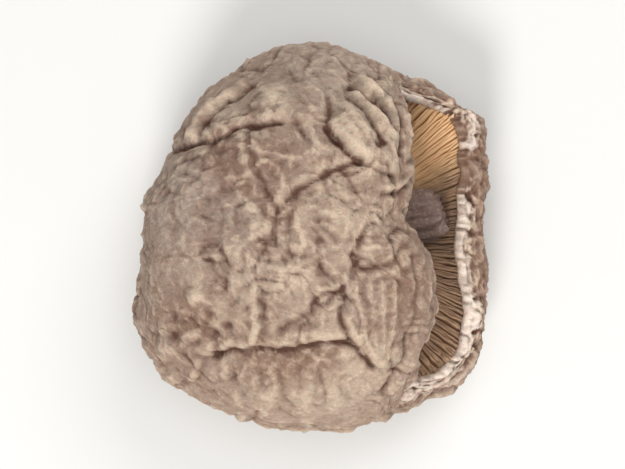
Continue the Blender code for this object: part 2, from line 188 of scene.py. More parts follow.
# Round bumps of the upper half: x, y, radius, height
BUMPS = (
    (-4.8, 18.4, 1.9, 0.5), (-8.0, 3.6, 1.2, 0.5), (-7.0, 0.3, 1.3, 0.5), (-15.4, -8.6, 1.0, 0.5),
    (-19.6, -16.0, 1.4, 0.5), (-1.7, -5.5, 2.2, 0.4), (-13.8, 8.4, 2.0, 0.3), (12.6, 15.6, 0.7, 0.4),
    (10.9, 13.8, 0.7, 0.4), (-15.2, -8.3, 1.0, 0.4), (-15.6, -18.6, 1.0, 0.4),
    (-12.5, -20.0, 1.4, 0.3), (-10.3, -21.7, 1.1, 0.25), (-6.0, -22.3, 1.3, 0.3), (-4.6, -20.8, 0.9, 0.25),
    (-2.3, -21.6, 0.9, 0.25), (-1.0, -22.6, 0.9, 0.25), (3.2, -22.6, 1.3, 0.25), (4.0, 2.8, 2.0, 0.35),
    (3.6, -3.6, 1.9, 0.3), (8.2, -2.4, 1.6, 0.3), (-1.2, 1.0, 1.5, 0.25), (-1.5, -1.2, 1.1, 0.4),
    (-4.8, -3.0, 1.0, 0.4),
)
# Where the outside of the lower half is fuller: x, y, radius, height
BULGES = ((20.5, -18.5, 5.0, 1.3),)
# Pits of the upper half, most of them at the lower left: x, y, radius, depth
PITS = (
    (-18.3, -11.4, 0.9, 0.6), (-15.6, -11.3, 1.1, 0.5), (-14.2, -12.5, 0.7, 0.6), (-18.6, -14.3, 1.0, 0.7),
    (-12.8, -13.6, 0.9, 0.7), (-11.4, -12.6, 0.6, 0.6), (-17.2, -16.4, 0.7, 0.4), (-12.6, -16.8, 0.7, 0.7),
    (-17.2, -12.2, 0.6, 0.4), (-13.6, -11.0, 0.6, 0.35),
    (-15.0, -14.6, 0.6, 0.4), (-10.6, -19.2, 0.6, 0.5), (-6.8, -19.4, 0.6, 0.5),
)

# Lumps: size, noise shift and height. Seams are thin valleys and welts thin ridges, both along the
# lines where a slow noise crosses zero: size, noise shift, half-width as a share of it, and height.
LUMPS = ((9.0, 27.0, 0.6), (4.6, 31.0, 0.45), (2.4, 33.0, 0.18))
SEAMS = ((7.0, 37.0, 0.055, -0.60), (4.2, 39.0, 0.075, -0.38), (2.4, 41.0, 0.11, -0.20))
WELTS = ((5.4, 49.0, 0.08, 0.38), (3.0, 51.0, 0.11, 0.24), (1.7, 53.0, 0.18, 0.13))
# Long wrinkles of the sides and the underside, which run from the fold's back to the lip: size, noise
# shift, half-width as a share of it, and height
LONG_WRINKLES = ((6.5, 121.0, 0.08, -0.85), (4.4, 92.0, 0.16, 0.55), (3.0, 94.0, 0.12, -0.35))
LONG_STRETCH = (0.34, 1.0, 1.0)  # of the places read in their noise, which makes them long in x
# Where the lower lip reaches further in, or less far: y, half-width, shift
LIP_SHIFTS = ((-2.2, 2.4, 0.8), (4.6, 1.6, 0.3), (9.0, 2.6, -0.5), (-11.5, 3.2, -0.8))
CREPE = ((1.3, 43.0, 0.12), (0.85, 45.0, 0.09))  # size, noise shift and height of the finest puffs
# Where the skin of the upper half is calmer than elsewhere: x, y, radius, share taken away
CALM_PLACES = (
    (-15.0, 6.0, 7.0, 0.6), (3.0, 24.5, 7.0, 0.4), (-20.0, -4.0, 6.0, 0.5), (11.0, -11.0, 7.5, 0.8),
    (-3.0, 11.0, 4.0, 0.4), (-6.0, -20.0, 9.0, 0.5), (-11.0, 17.5, 4.0, 0.4), (6.0, -20.0, 5.0, 0.7),
    (-1.0, 21.0, 6.0, 0.3), (3.0, 4.0, 5.0, 0.3),
)
# Where the skin of the upper half is greyer: x, y, radius, share
GREY_PLACES = (
    (-16.0, 4.0, 9.0, 1.0), (2.0, 25.0, 8.0, 0.9), (-21.0, -13.0, 5.0, 0.8), (-9.0, 9.0, 6.0, 0.5),
)
# Where the upper half is paler, partly paler skin and partly painted light on the broad relief: x, y,
# radius, share
PALE_PLACES = (
    (5.0, 2.5, 6.0, 0.35), (8.0, 15.6, 5.0, 0.3), (-4.0, -22.4, 6.0, 0.3),
    (-4.8, 18.4, 2.0, 1.0), (-10.0, -9.0, 5.0, 0.5), (-1.7, -6.4, 2.8, 0.8), (8.4, -17.0, 4.4, 0.6),
    (4.5, -21.8, 4.5, 0.5), (3.2, 13.6, 1.4, 0.8), (-12.0, 17.6, 2.4, 0.8), (3.5, 22.0, 5.0, 0.4),
    (4.2, 2.5, 2.0, 0.4), (-7.3, 1.0, 1.5, 0.3), (-8.2, 4.0, 1.2, 0.7), (8.4, -2.4, 1.8, 0.2),
    (8.5, 18.9, 1.6, 0.8), (6.5, 10.6, 1.2, 1.0), (-15.6, 13.8, 1.5, 0.7), (3.3, -13.0, 1.6, 0.5),
    (-19.6, -15.6, 1.8, 0.3), (10.4, 13.0, 1.4, 0.8), (-5.6, -21.6, 1.2, 0.6), (-0.6, -21.5, 1.2, 0.6),
)
# Where the upper half is darker, partly darker skin and partly painted shade, as in the band below the long
# low crease near y = -16.5: x, y, radius, share
DARK_PLACES = (
    (-9.0, 9.0, 4.4, 1.0), (-4.0, 10.8, 3.4, 0.4), (-4.6, 3.4, 2.6, 0.8), (-12.5, -0.8, 4.0, 0.5),
    (-18.0, -11.6, 4.4, 0.9), (-8.0, -17.2, 3.0, 0.9), (-4.0, -17.2, 3.0, 1.0),
    (0.8, -16.8, 3.2, 1.0), (11.4, -4.0, 4.0, 0.5), (-13.4, -13.4, 3.4, 0.7),
    (-8.8, 5.8, 1.4, 0.7), (-12.4, 10.6, 3.0, 0.6), (6.2, 6.2, 1.6, 0.6), (12.6, -9.0, 4.6, 0.6),
    (-13.5, 12.6, 3.4, 0.5), (13.4, 4.2, 2.6, 0.7), (1.0, -1.4, 3.4, 0.3),
)
# Where the rim of the lower half and the end of the wad are cream: half-width, share, x, y points
CREAM_LINES = (
    (1.5, 1.0, (19.9, 5.8), (20.7, 3.6), (20.2, 0.8), (19.9, -2.2), (20.4, -5.0), (21.2, -8.2),
     (22.2, -11.8)),
    (0.8, 0.9, (22.7, 17.6), (23.1, 15.6), (22.9, 12.6)),
    (1.2, 0.75, (22.6, -12.6), (21.4, -16.0), (18.6, -19.4), (15.4, -21.5), (11.6, -23.3)),
    (0.6, 0.7, (11.6, 20.9), (13.2, 19.9), (15.0, 18.8), (17.4, 18.6)),
    (0.45, 1.0, (13.2, 8.9), (13.1, 7.9), (12.6, 6.9), (11.6, 6.1), (10.4, 5.9)),
)
# Where that rim is brown: x, y, radius, share
BROWN_PLACES = ((21.6, 9.4, 3.4, 1.0), (20.6, 14.6, 1.9, 1.0))

CREASE_PROFILE = 1.2
CREASE_STEPS = 4  # short pieces in each stretch of a crease, so that it bends smoothly
SKIN_LENGTH = 56.0  # about, from the fold's back to the lip
SKIN_REACH = 24.0  # about, from the middle to the margin, so that it turns an angle into a length
REST_FADE = (0.7, 1.4)  # shares of the rest spot's radius between which the relief comes back
UPPER_SHARE = 0.56  # of the skin's columns lie on the upper half
OUTER_ROWS = 178
LIP_ROWS = 7
MARGIN_ROWS = 14
BACK_ROWS = 10
FLESH_ROWS = 100
FLESH_COLUMNS = 220
INNER_ROWS = 90
INNER_COLUMNS = 120
FLESH_VOXEL = 0.5
TOP_BAND = 0.4  # below the part's top, from which the highest wrinkles are halved
GILL_ROOT = 6.5  # distance from the gills' centre where they start
GILL_END = 40.0  # a distance past every margin
GILL_STEP = 0.35
GILL_LEAST = 8  # fewest steps of a gill that is made
GILL_JITTER = 0.25  # of the space between two gills
SHORT_GILL_START = 0.45  # share of its line that a short gill leaves out
BLADE_RINGS = 26
# Cross-section of a gill, round it: share of its height, and share of half its thickness
BLADE_SECTION = (
    (-0.25, 1.0), (0.2, 0.9), (0.6, 0.6), (0.92, 0.35), (1.0, -0.35), (0.6, -0.6), (0.2, -0.9),
    (-0.25, -1.0),
)
STEM_ROWS = 90
STEM_END_RINGS = 16

# What the skin's material reads at each point
SKIN_MARKS = (
    "hollow", "groove", "crest", "margin", "lip", "inside", "grey", "pale", "dark", "cream", "brown",
)
FLOOR_HALF = 0.6  # metres
PICTURE = (625, 469)  # width and height of the picture, in pixels
# Soft lights: name, place and diameter in metres, power in watts
LIGHTS = (
    ("key", (-0.08, -0.36, 0.36), 0.18, 1.85),
    ("fill", (0.20, 0.34, 0.36), 0.40, 1.25),
    ("top", (0.0, 0.0, 0.60), 0.50, 1.15),
)


def smooth_line(points, share):
    """Reads a smooth curve through evenly spaced stations, at shares of its length from 0 to 1."""
    points = np.array(points, float)
    slopes = np.gradient(points, axis=0)
    place = np.clip(share, 0, 1) * (len(points) - 1)
    start = np.minimum(place.astype(int), len(points) - 2)
    t = (place - start)[:, None]
    a, b = points[start], points[start + 1]
    da, db = slopes[start], slopes[start + 1]
    return (
        a * (1 + 2 * t) * (1 - t) ** 2
        + da * t * (1 - t) ** 2
        + b * (3 - 2 * t) * t**2
        - db * t**2 * (1 - t)
    )


def ramp(value, low, high):
    """0 below low, 1 above high, and smooth between them."""
    t = np.clip((value - low) / (high - low), 0, 1)
    return t * t * (3 - 2 * t)


def lengths(rows):
    """The length of each row."""
    return np.linalg.norm(rows, axis=1)


def spread(stations, turns):
    """Every station with every turn, ring by ring."""
    return np.repeat(stations, len(turns)), np.tile(turns, len(stations))


def skin_point(station, turn):
    """A point of the outer skin: station runs from the fold's back to the lip, turn about the X axis."""
    upper = smooth_line(UPPER_LINE, station)
    lower = smooth_line(LOWER_LINE, station)
    far = smooth_line(FAR_LINE, station)
    near = smooth_line(NEAR_LINE, station)
    across, up = np.cos(turn), np.sin(turn)
    side = np.where((across > 0)[:, None], far, near)
    face = np.where((up > 0)[:, None], upper, lower)
    corner = np.where(
        up > 0,
        np.where(across > 0, CORNERS["upper far"], CORNERS["upper near"]),
        np.where(across > 0, CORNERS["lower far"], CORNERS["lower near"]),
    )
    squarer = 1 + (LIP_SQUARENESS - 1) * ramp(station, *LIP_STATIONS)
    swing = 1 - np.abs(across) ** np.where(up > 0, corner, corner * squarer)
    middle = FAR_LINE[0][1] * (1 - station)
    y = middle + (side[:, 1] - middle) * np.abs(across)
    x = side[:, 0] + (face[:, 0] - side[:, 0]) * swing
    for place, half_width, shift in UPPER_SHIFTS:
        hump = np.exp(-(((y - place) / half_width) ** 2))
        x = x + shift * hump * ramp(station, 0.45, 0.85) * ramp(up, 0.0, 0.5)
    waist = np.interp(station, *zip(*WAIST))
    z = waist + (face[:, 1] - waist) * np.abs(up)
    return np.stack([x, y, z], axis=1)


def skin_frame(station, turn):
    """The skin's points, their outward normals, and the direction in which the skin runs to the lip."""
    step = 0.004
    station = np.clip(station, 2 * step, 1)
    along = skin_point(station, turn) - skin_point(station - step, turn)
    around = skin_point(station, turn + step) - skin_point(station, turn - step)
    normal = np.cross(around, along)
    normal /= lengths(normal)[:, None]
    along /= lengths(along)[:, None]
    return skin_point(station, turn), normal, along


def wall_at(station):
    """Thickness of the cap's wall at each station."""
    return np.interp(station, *zip(*WALL))


def near_path(points, path):
    """Distance, in plan, from each point to a smooth path, and its side: 1 on the left, -1 on the right."""
    count = (len(path) - 1) * CREASE_STEPS + 1
    path = smooth_line(path, np.linspace(0, 1, count))
    nearest = np.full(len(points), np.inf)
    side = np.zeros(len(points))
    for start, end in zip(path[:-1], path[1:]):
        run = end - start
        share = np.clip((points - start) @ run / (run @ run), 0, 1)
        off = points - start - share[:, None] * run
        away = lengths(off)
        closer = away < nearest
        nearest = np.where(closer, away, nearest)
        turned = run[0] * off[:, 1] - run[1] * off[:, 0]
        side = np.where(closer, turned / (np.linalg.norm(run) * np.maximum(away, 1e-6)), side)
    return nearest, side


def mound(plan, x, y, radius, power=2.5):
    """1 at a place in plan, and falling away around it."""
    away = lengths(plan - (x, y)) / radius
    return np.exp(-(away**power))


def noise_of(points, size, shift=0.0):
    """Smooth noise from about -1 to 1, with features of the given size."""
    start = np.array(SEED + Vector((shift, shift * 0.7, -shift)))
    return np.array([noise.noise(spot) for spot in (np.asarray(points) / size + start).tolist()])


def noises(points, size, *shifts):
    """Several such noises side by side, one for each shift."""
    return np.stack([noise_of(points, size, shift) for shift in shifts], axis=1)


def cell_edges(points, size):
    """0 on the borders of irregular cells of the given size, and rising towards their middles."""
    found = [noise.voronoi(spot)[0] for spot in (np.asarray(points) / size + np.array(SEED)).tolist()]
    return np.array([near[1] - near[0] for near in found])


def swell(points):
    """Slow swells of the whole cap, fading out towards the surface below."""
    rolled = (np.roll(points, shift, axis=1) for shift in range(3))
    offset = np.stack([noise_of(spot, SWELL_LENGTH) for spot in rolled], axis=1) * SWELL
    offset[:, 2] *= ramp(points[:, 2], 2.0, 12.0)
    return points + offset


def to_frame(points):
    """Moves points from the form's own numbers to the part's frame, in metres."""
    return (np.asarray(points) - FORM_ORIGIN) * MM


def looking_up(normals):
    """1 on the faces of the skin that look up, 0 on its sides and its underside."""
    return ramp(normals[:, 2], 0.05, 0.45)


def lower_share(turn):
    """1 on the lower half of the cap, 0 on the upper half, and smooth across the two side lines."""
    return ramp(-np.sin(turn), -0.15, 0.15)


def spots(points, normals, places):
    """How much each point has of the given round places, which lie on faces that look up."""
    total = np.zeros(len(points))
    for x, y, radius, share in places:
        total += share * mound(points[:, :2], x, y, radius)
    return np.clip(total, 0, 1) * ramp(normals[:, 2], 0.0, 0.3)


def broad_relief(points, normals):
    """The larger relief of the skin: cells, creases, ridges, bumps, pits, the wad and the sunken middle."""
    plan = points[:, :2]
    upper = looking_up(normals)
    wobble = np.stack([noise_of(points, 6.0), noise_of(points[:, ::-1], 6.0)], axis=1)
    edges = cell_edges(points + 1.6 * np.c_[wobble, wobble[:, 0]], CELL_SIZE)
    broken = 0.15 + 0.85 * ramp(noise_of(points, 8.0, 9.0), -0.1, 0.35)
    broken = broken * (1 - spots(points, normals, CALM_PLACES))
    relief = -CELL_DEPTH * broken * (0.6 * np.exp(-edges / 0.06) + 0.4 * np.exp(-edges / 0.25))
    shaken = plan + 0.35 * wobble + 0.25 * noises(points, 1.8, 3.0, 5.0)
    for depth, half_width, edge, *path in CREASES:
        away, side = near_path(shaken, path)
        away = away / half_width
        relief -= depth * upper * (0.75 * np.exp(-(away**CREASE_PROFILE)) + 0.25 * np.exp(-away / 3.0))
        beside = np.exp(-((away - 2.6) ** 2) / 2.6)
        relief += abs(edge) * upper * beside * np.clip(side * np.sign(edge), 0, 1)
    for height, half_width, *path in RIDGES:
        away, _ = near_path(shaken, path)
        relief += height * upper * np.exp(-((away / half_width) ** 1.3))
    for x, y, radius, height in BUMPS:
        relief += height * upper * mound(shaken, x, y, radius)
    for x, y, radius, height in BULGES:
        relief += height * (1 - upper) * mound(plan, x, y, radius, 2.0)
    for x, y, radius, depth in PITS:
        relief -= depth * upper * mound(shaken, x, y, radius, 2.0)
    reach = lengths((plan - KNOT) / KNOT_SIZE)
    relief += KNOT_RISE * upper * (1 - ramp(reach, *KNOT_SLOPE))
    inward = lengths((plan - HOLLOW) / HOLLOW_SIZE + 0.12 * wobble)
    relief -= HOLLOW_DEPTH * upper * (1 - ramp(inward, 0.55, 1.15))
    return relief


def furrows(across, down, shift, power, level):
    """Folded noise over two lengths on the skin, so that it has sharp furrows, less a level."""
    places = np.stack([across, down, np.zeros_like(across)], axis=1)
    return np.abs(noise_of(places, 1.0, shift)) ** power - level


def fine_relief(points, normals, station, turn):
    """The finer wrinkles: lumps, thin seams and welts, crepe, and folds and lines at the margin."""
    warp = noises(points, 4.6, 11.0, 17.0, 23.0)
    twist = noises(points, 1.7, 12.0, 18.0, 24.0)
    bent = points + 1.6 * warp + 0.45 * twist
    lively = 1 - spots(points, normals, CALM_PLACES)
    relief = sum(height * noise_of(bent, size, shift) for size, shift, height in LUMPS) * lively
    for size, shift, width, height in SEAMS + WELTS:
        patchy = ramp(noise_of(points, size * 1.6, shift + 30.0), -0.25, 0.25)
        line = np.exp(-np.abs(noise_of(bent, size, shift)) / width)
        relief += height * line * patchy * (0.4 + 0.6 * lively)
    flowing = (bent + 3.0 * noises(points, 10.0, 107.0, 109.0, 111.0)) * LONG_STRETCH
    sides, off_margin = 1 - looking_up(normals), 1 - ramp(station, 0.8, 0.95)
    for size, shift, width, height in LONG_WRINKLES:
        line = np.exp(-np.abs(noise_of(flowing, size, shift)) / width)
        relief += height * line * sides * off_margin
    for size, shift, height in CREPE:
        relief += height * (np.abs(noise_of(bent, size, shift)) ** 0.7 - 0.38)

    along = -SKIN_REACH * np.abs(turn) + 2.2 * warp[:, 0] + 0.8 * twist[:, 0]
    from_lip = (1 - station) * SKIN_LENGTH + 0.8 * warp[:, 1]
    margin = ramp(-from_lip, -13.0, -4.0)
    rim = 0.4 + 0.6 * lower_share(turn)
    relief += 0.8 * furrows(along / 4.0 + from_lip / 6.0, from_lip / 5.0, 59.0, 0.8, 0.30) * margin * rim
    relief -= 0.8 * furrows(along / 1.3 - from_lip / 3.0, from_lip / 2.0, 63.0, 0.8, 0.30) * margin * rim
    relief -= 0.6 * furrows(from_lip / 1.5 + along / 9.0, along / 3.0, 69.0, 0.8, 0.30) * margin * rim
    right = ramp(points[:, 0], 9.0, 12.0) * ramp(np.sin(turn), 0.0, 0.3) * ramp(-points[:, 1], -1.0, 3.0)
    lines = furrows(from_lip / 1.05 + 0.7 * warp[:, 1], along / 9.0, 67.0, 0.7, 0.35)
    relief -= 0.65 * lines * ramp(-from_lip, -14.0, -8.0) * right
    return relief


def skin_rings():
    """For each ring: its station, its turn round the lip, and 1 where it is out of sight inside."""
    stations = np.concatenate([
        np.linspace(0.012, 1.0, OUTER_ROWS),
        np.ones(LIP_ROWS),
        np.linspace(1.0, 0.87, MARGIN_ROWS),
        np.linspace(0.85, 0.03, BACK_ROWS),
    ])
    over = np.full(len(stations), math.pi)
    over[:OUTER_ROWS] = 0
    over[OUTER_ROWS:OUTER_ROWS + LIP_ROWS] = np.linspace(0, math.pi, LIP_ROWS + 2)[1:-1]
    hidden = np.zeros(len(stations))
    hidden[-BACK_ROWS:] = 1
    return stations, over, hidden


def cap_form(sizes):
    """Points of the skin in rings, and what its finish needs to know at each of them."""
    stations, over, hidden = skin_rings()
    rows, columns = len(stations), sizes.columns
    share = np.arange(columns) / columns
    turns = np.interp(share, (0, UPPER_SHARE, 1), (0, math.pi, 2 * math.pi))
    turns = np.where(turns > math.pi, turns - 2 * math.pi, turns)
    station, turn = spread(stations, turns)
    over, hidden = np.repeat(over, columns), np.repeat(hidden, columns)
    points, normals, along = skin_frame(station, turn)
    wavy = 0.7 * noise_of(points, 3.2, 95.0)
    below_mouth = (points[:, 0] > 10) * (turn < 0)
    for place, half_width, shift in LIP_SHIFTS:
        wavy += shift * np.exp(-(((points[:, 1] - place) / half_width) ** 2)) * below_mouth
    points = points + along * (wavy * ramp(station, 0.88, 1.0))[:, None]
    broad = broad_relief(points, normals) * sizes.crease_depth
    fine = fine_relief(points, normals, station, turn) * sizes.wrinkle_depth
    x, y, radius = REST_SPOT
    low, high = REST_FADE
    flat = lengths(points[:, :2] - (x, y))
    free = np.where(normals[:, 2] < 0, ramp(flat, radius * low, radius * high), 1)
    outside = np.cos(over / 2) ** 2
    relief = (broad * free + fine * (0.2 + 0.8 * free)) * (0.35 + 0.65 * outside) * (1 - hidden)
    wall = wall_at(station)
    wall = np.where(hidden > 0, wall * 0.78, wall)
    edge = np.cos(over)[:, None] * normals + np.sin(over)[:, None] * along
    moved = points - normals * wall[:, None] / 2 + edge * wall[:, None] / 2 + normals * relief[:, None]

    relief = relief.reshape(rows, columns)
    wide = (relief - softened(relief, 7)).ravel()
    narrow = (relief - softened(relief, 2)).ravel()
    rim = ramp(station, 0.86, 0.92) * (1 - hidden)
    below = ramp(station, 0.84, 0.88) * (1 - ramp(station, 0.93, 0.965)) * 0.5 * lower_share(turn)
    sides = 1 - looking_up(normals)
    cream = np.zeros(len(points))
    shaken = points[:, :2] + 0.5 * noises(points, 2.4, 85.0, 87.0)
    for half_width, share, *path in CREAM_LINES:
        away, _ = near_path(shaken, path)
        cream += share * np.exp(-((away / half_width) ** 2.5))
    pale = sides * (0.6 * ramp(noise_of(points, 5.0, 101.0), 0.05, 0.5))
    dark = sides * (0.7 * ramp(noise_of(points, 8.0, 103.0), 0.0, 0.5))
    return {
        "rings": swell(moved).reshape(rows, columns, 3),
        "hollow": np.clip(-wide / 0.9, 0, 1),
        "groove": np.clip(-narrow / 0.22, 0, 1),
        "crest": np.clip(wide / 0.6, 0, 1) * 0.5 + np.clip(narrow / 0.14, 0, 1) * 0.5,
        "margin": ramp(station, 0.82, 0.97) * (0.45 + 0.55 * lower_share(turn)),
        "lip": ramp(station, 0.955, 0.995) * (1 - hidden),
        "inside": 1 - outside,
        "grey": spots(points, normals, GREY_PLACES),
        "pale": spots(points, normals, PALE_PLACES) + pale,
        "dark": spots(points, normals, DARK_PLACES) + dark,
        "cream": cream * rim,
        "brown": np.clip(spots(points, normals, BROWN_PLACES) * rim + below, 0, 1),
    }


def softened(grid, reach):
    """A grid of rings, blurred over the given number of neighbours each way."""
    around = sum(np.roll(grid, step, axis=1) for step in range(-reach, reach + 1)) / (2 * reach + 1)
    padded = np.pad(around, ((reach, reach), (0, 0)), mode="edge")
    total = np.cumsum(np.vstack([np.zeros((1, grid.shape[1])), padded]), axis=0)
    return (total[2 * reach + 1:] - total[:-2 * reach - 1]) / (2 * reach + 1)


def net(rows, columns, closed):
    """Quads between neighbouring points of rows by columns, whose rows are closed rings or open lines."""
    row = np.arange(rows - 1)[:, None] * columns
    column = np.arange(columns if closed else columns - 1)
    beyond = (column + 1) % columns
    corners = (row + column, row + beyond, row + columns + beyond, row + columns + column)
    return np.stack(corners, axis=2).reshape(-1, 4).tolist()


def loft(rings):
    """Points and faces of a closed mesh through rings of points, given as an array of rings by columns."""
    count, columns = rings.shape[:2]
    ends = np.stack([rings[0].mean(axis=0), rings[-1].mean(axis=0)])
    places = np.concatenate([rings.reshape(-1, 3), ends])
    column = np.arange(columns)
    beyond = (column + 1) % columns
    last = (count - 1) * columns
    start = np.stack([beyond, column, np.full(columns, count * columns)], axis=1)
    end = np.stack([last + column, last + beyond, np.full(columns, count * columns + 1)], axis=1)
    return places, net(count, columns, closed=True) + start.tolist() + end.tolist()


def add_piece(name, places, faces, flip=False):
    """A smooth object from points in metres and faces. It rides on the body and stands for the node."""
    mesh = bpy.data.meshes.new(name)
    mesh.from_pydata(np.asarray(places).tolist(), [], faces)
    if flip:
        mesh.flip_normals()
    mesh.validate()
    mesh.shade_smooth()
    piece = bpy.data.objects.new(name, mesh)
    bpy.context.scene.collection.objects.link(piece)
    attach(piece, BODY)
    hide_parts(NODE)
    return piece


def mark(piece, name, values):
    """Stores one number for each point of the piece, for its material to read."""
    layer = piece.data.attributes.new(name, "FLOAT", "POINT")
    full = np.zeros(len(piece.data.vertices), np.float32)
    full[:len(values)] = values
    layer.data.foreach_set("value", full)


class Wire:
    """A number in a material. Arithmetic on it adds Math nodes."""

    def __init__(self, finish, socket):
        self.finish = finish
        self.socket = socket

    def _math(self, operation, first, second, clamp=False):
        settings = {"operation": operation, "use_clamp": clamp}
        return self.finish.node("ShaderNodeMath", settings, {0: first, 1: second})

    def __add__(self, other):
        return self._math("ADD", self, other)

    def __radd__(self, other):
        return self._math("ADD", other, self)

    def __sub__(self, other):
        return self._math("SUBTRACT", self, other)

    def __rsub__(self, other):
        return self._math("SUBTRACT", other, self)

    def __mul__(self, other):
        return self._math("MULTIPLY", self, other)

    def __rmul__(self, other):
        return self._math("MULTIPLY", other, self)

    def __truediv__(self, other):
        return self._math("DIVIDE", self, other)

    def __pow__(self, other):
        return self._math("POWER", self, other)

    def held(self):
        """The number kept between 0 and 1."""
        return self._math("ADD", self, 0.0, clamp=True)

    def between(self, low, high):
        """0 at low and below, 1 at high and above."""
        return ((self - low) / (high - low)).held()


class Finish:
    """A material that is being made."""

    def __init__(self, name, roughness, specular):
        self.material = bpy.data.materials.new(name)
        self.material.use_nodes = True
        self.tree = self.material.node_tree
        self.surface = self.tree.nodes["Principled BSDF"]
        self.surface.inputs["Roughness"].default_value = roughness
        self.surface.inputs["Specular IOR Level"].default_value = specular
        self.place = self.node("ShaderNodeTexCoord", {}, {}, "Object")

    def node(self, kind, settings, sockets, output=0):
        """Adds a node: its settings first, then its sockets' values or links. Returns one output."""
        made = self.tree.nodes.new(kind)
        for name, value in settings.items():
            setattr(made, name, value)
        for name, value in sockets.items():
            self.join(value, made.inputs[name])
        return Wire(self, made.outputs[output])

    def join(self, value, socket):
        """Links a wire to a socket, or sets the socket's own value."""
        if isinstance(value, Wire):
            self.tree.links.new(value.socket, socket)
        elif socket.type == "RGBA":
            socket.default_value = (*value, 1)
        else:
            socket.default_value = value

    def drawn(self, *names):
        """Numbers stored at the points of the mesh, one for each name."""
        return [self.node("ShaderNodeAttribute", {"attribute_name": name}, {}, "Fac") for name in names]

    def grain(self, size, detail=3.0, distortion=0.0):
        """Noise from 0 to 1 with features of the given size in millimetres."""
        sockets = {"Scale": 1 / (size * MM), "Detail": detail, "Distortion": distortion}
        return self.node("ShaderNodeTexNoise", {}, {"Vector": self.place, **sockets}, "Fac")

    def folded(self, number):
        """Noise folded over at its middle, so that it has thin valleys."""
        return self.node("ShaderNodeMath", {"operation": "ABSOLUTE"}, {0: number - 0.5}) ** 0.7

    def mixed(self, factor, first, second):
        """Two colours mixed by a factor."""
        return self.node("ShaderNodeMix", {"data_type": "RGBA"}, {0: factor, 6: first, 7: second}, 2)

    def wear(self, piece, colour, height, distance):
        """Ends the material with its colour and bump, and puts it on the piece."""
        self.join(colour, self.surface.inputs["Base Color"])
        sockets = {"Height": height, "Distance": distance * MM, "Strength": 1.0}
        self.join(self.node("ShaderNodeBump", {}, sockets), self.surface.inputs["Normal"])
        piece.data.materials.append(self.material)


def colour_setting(name, description, *channels):
    """A colour property, whose default is given as it looks on a screen, from 0 to 255."""
    shares = (channel / 255 for channel in channels)
    linear = tuple(((s + 0.055) / 1.055) ** 2.4 if s > 0.04045 else s / 12.92 for s in shares)
    return FloatVectorProperty(name=name, description=description, size=3, subtype="COLOR", default=linear)


class MushroomCap(bpy.types.PropertyGroup):
    """Sizes and colours of the cap's skin."""

    columns: IntProperty(name="Columns", description="Points round the skin", default=440, min=60)
    crease_depth: FloatProperty(
        name="Crease depth", description="Share of the depth of the creases", default=1.0, subtype="FACTOR",
    )
    wrinkle_depth: FloatProperty(
        name="Wrinkle depth", description="Share of the depth of the fine wrinkles", default=1.0,
        subtype="FACTOR",
    )
    skin: colour_setting("Skin", "Colour of the skin between creases", 157, 131, 112)
    pale_skin: colour_setting("Pale skin", "Greyer colour of the skin in patches", 172, 152, 136)
    grey_skin: colour_setting("Grey skin", "Colour of the greyest skin", 166, 150, 138)
    # Redder brown of the blotches and the rim, and also painted shade in the darker places
    warm_skin_and_shade: colour_setting("Warm skin", "Redder brown of the skin in blotches", 132, 100, 81)
    # Painted shade in the creases and grooves; also the colour of random dark flecks and pores
    crease_shade_and_specks: colour_setting("Crease", "Colour in the creases", 92, 62, 48)
    # Painted highlight on the crests and flecks; also the colour of the paler places, which are partly
    # painted light
    pale_and_highlight: colour_setting("Ridge", "Colour of the worn ridges", 220, 198, 173)
    lip: colour_setting("Lip", "Cream of the margin's edge", 240, 222, 206)


class MushroomGills(bpy.types.PropertyGroup):
    """Sizes and colours of the gills and the flesh between them."""

    count: IntProperty(name="Count", description="Full-length gills in each half", default=260, min=8)
    thickness: FloatProperty(
        name="Thickness", description="Thickness of a gill at its root", default=0.34 * MM, unit="LENGTH",
        precision=5,
    )
    height: FloatProperty(
        name="Height", description="Height of a gill over the flesh", default=1.4 * MM, unit="LENGTH",
        precision=5,
    )
    colour: colour_setting("Colour", "Amber of the gills", 240, 200, 152)
    shade: colour_setting("Shade", "Darker amber between and along the gills", 206, 158, 110)
    # Painted shade: the olive brown put on the gills round one side of the stem
    brown: colour_setting("Brown", "Olive brown of the oldest gills", 136, 108, 92)


class MushroomStem(bpy.types.PropertyGroup):
    """Sizes and colours of the stem stub."""

    sides: IntProperty(name="Sides", description="Points round the stem", default=96, min=12)
    # Both stem browns are darker than the stem's own tan: painted shade, for the stub that lies in shade
    # under the upper lip
    colour: colour_setting("Colour", "Greyish brown of the stem", 136, 118, 110)
    groove: colour_setting("Groove", "Darker brown of the stem in blotches", 92, 62, 48)
    fibre: colour_setting("Fibre", "Pale colour of the fibres that stand out", 220, 198, 173)


class MushroomStage(bpy.types.PropertyGroup):
    """Camera, floor and lights."""

    lens: FloatProperty(name="Lens", description="Focal length", default=100.0, unit="CAMERA")
    elevation: FloatProperty(
        name="Elevation", description="Angle of the camera above the horizon", default=math.radians(88),
        subtype="ANGLE",
    )
    view_height: FloatProperty(
        name="View height", description="Height of the view at the mushroom", default=64.5 * MM,
        unit="LENGTH",
    )
    floor: colour_setting("Floor", "Colour of the floor", 226, 224, 220)


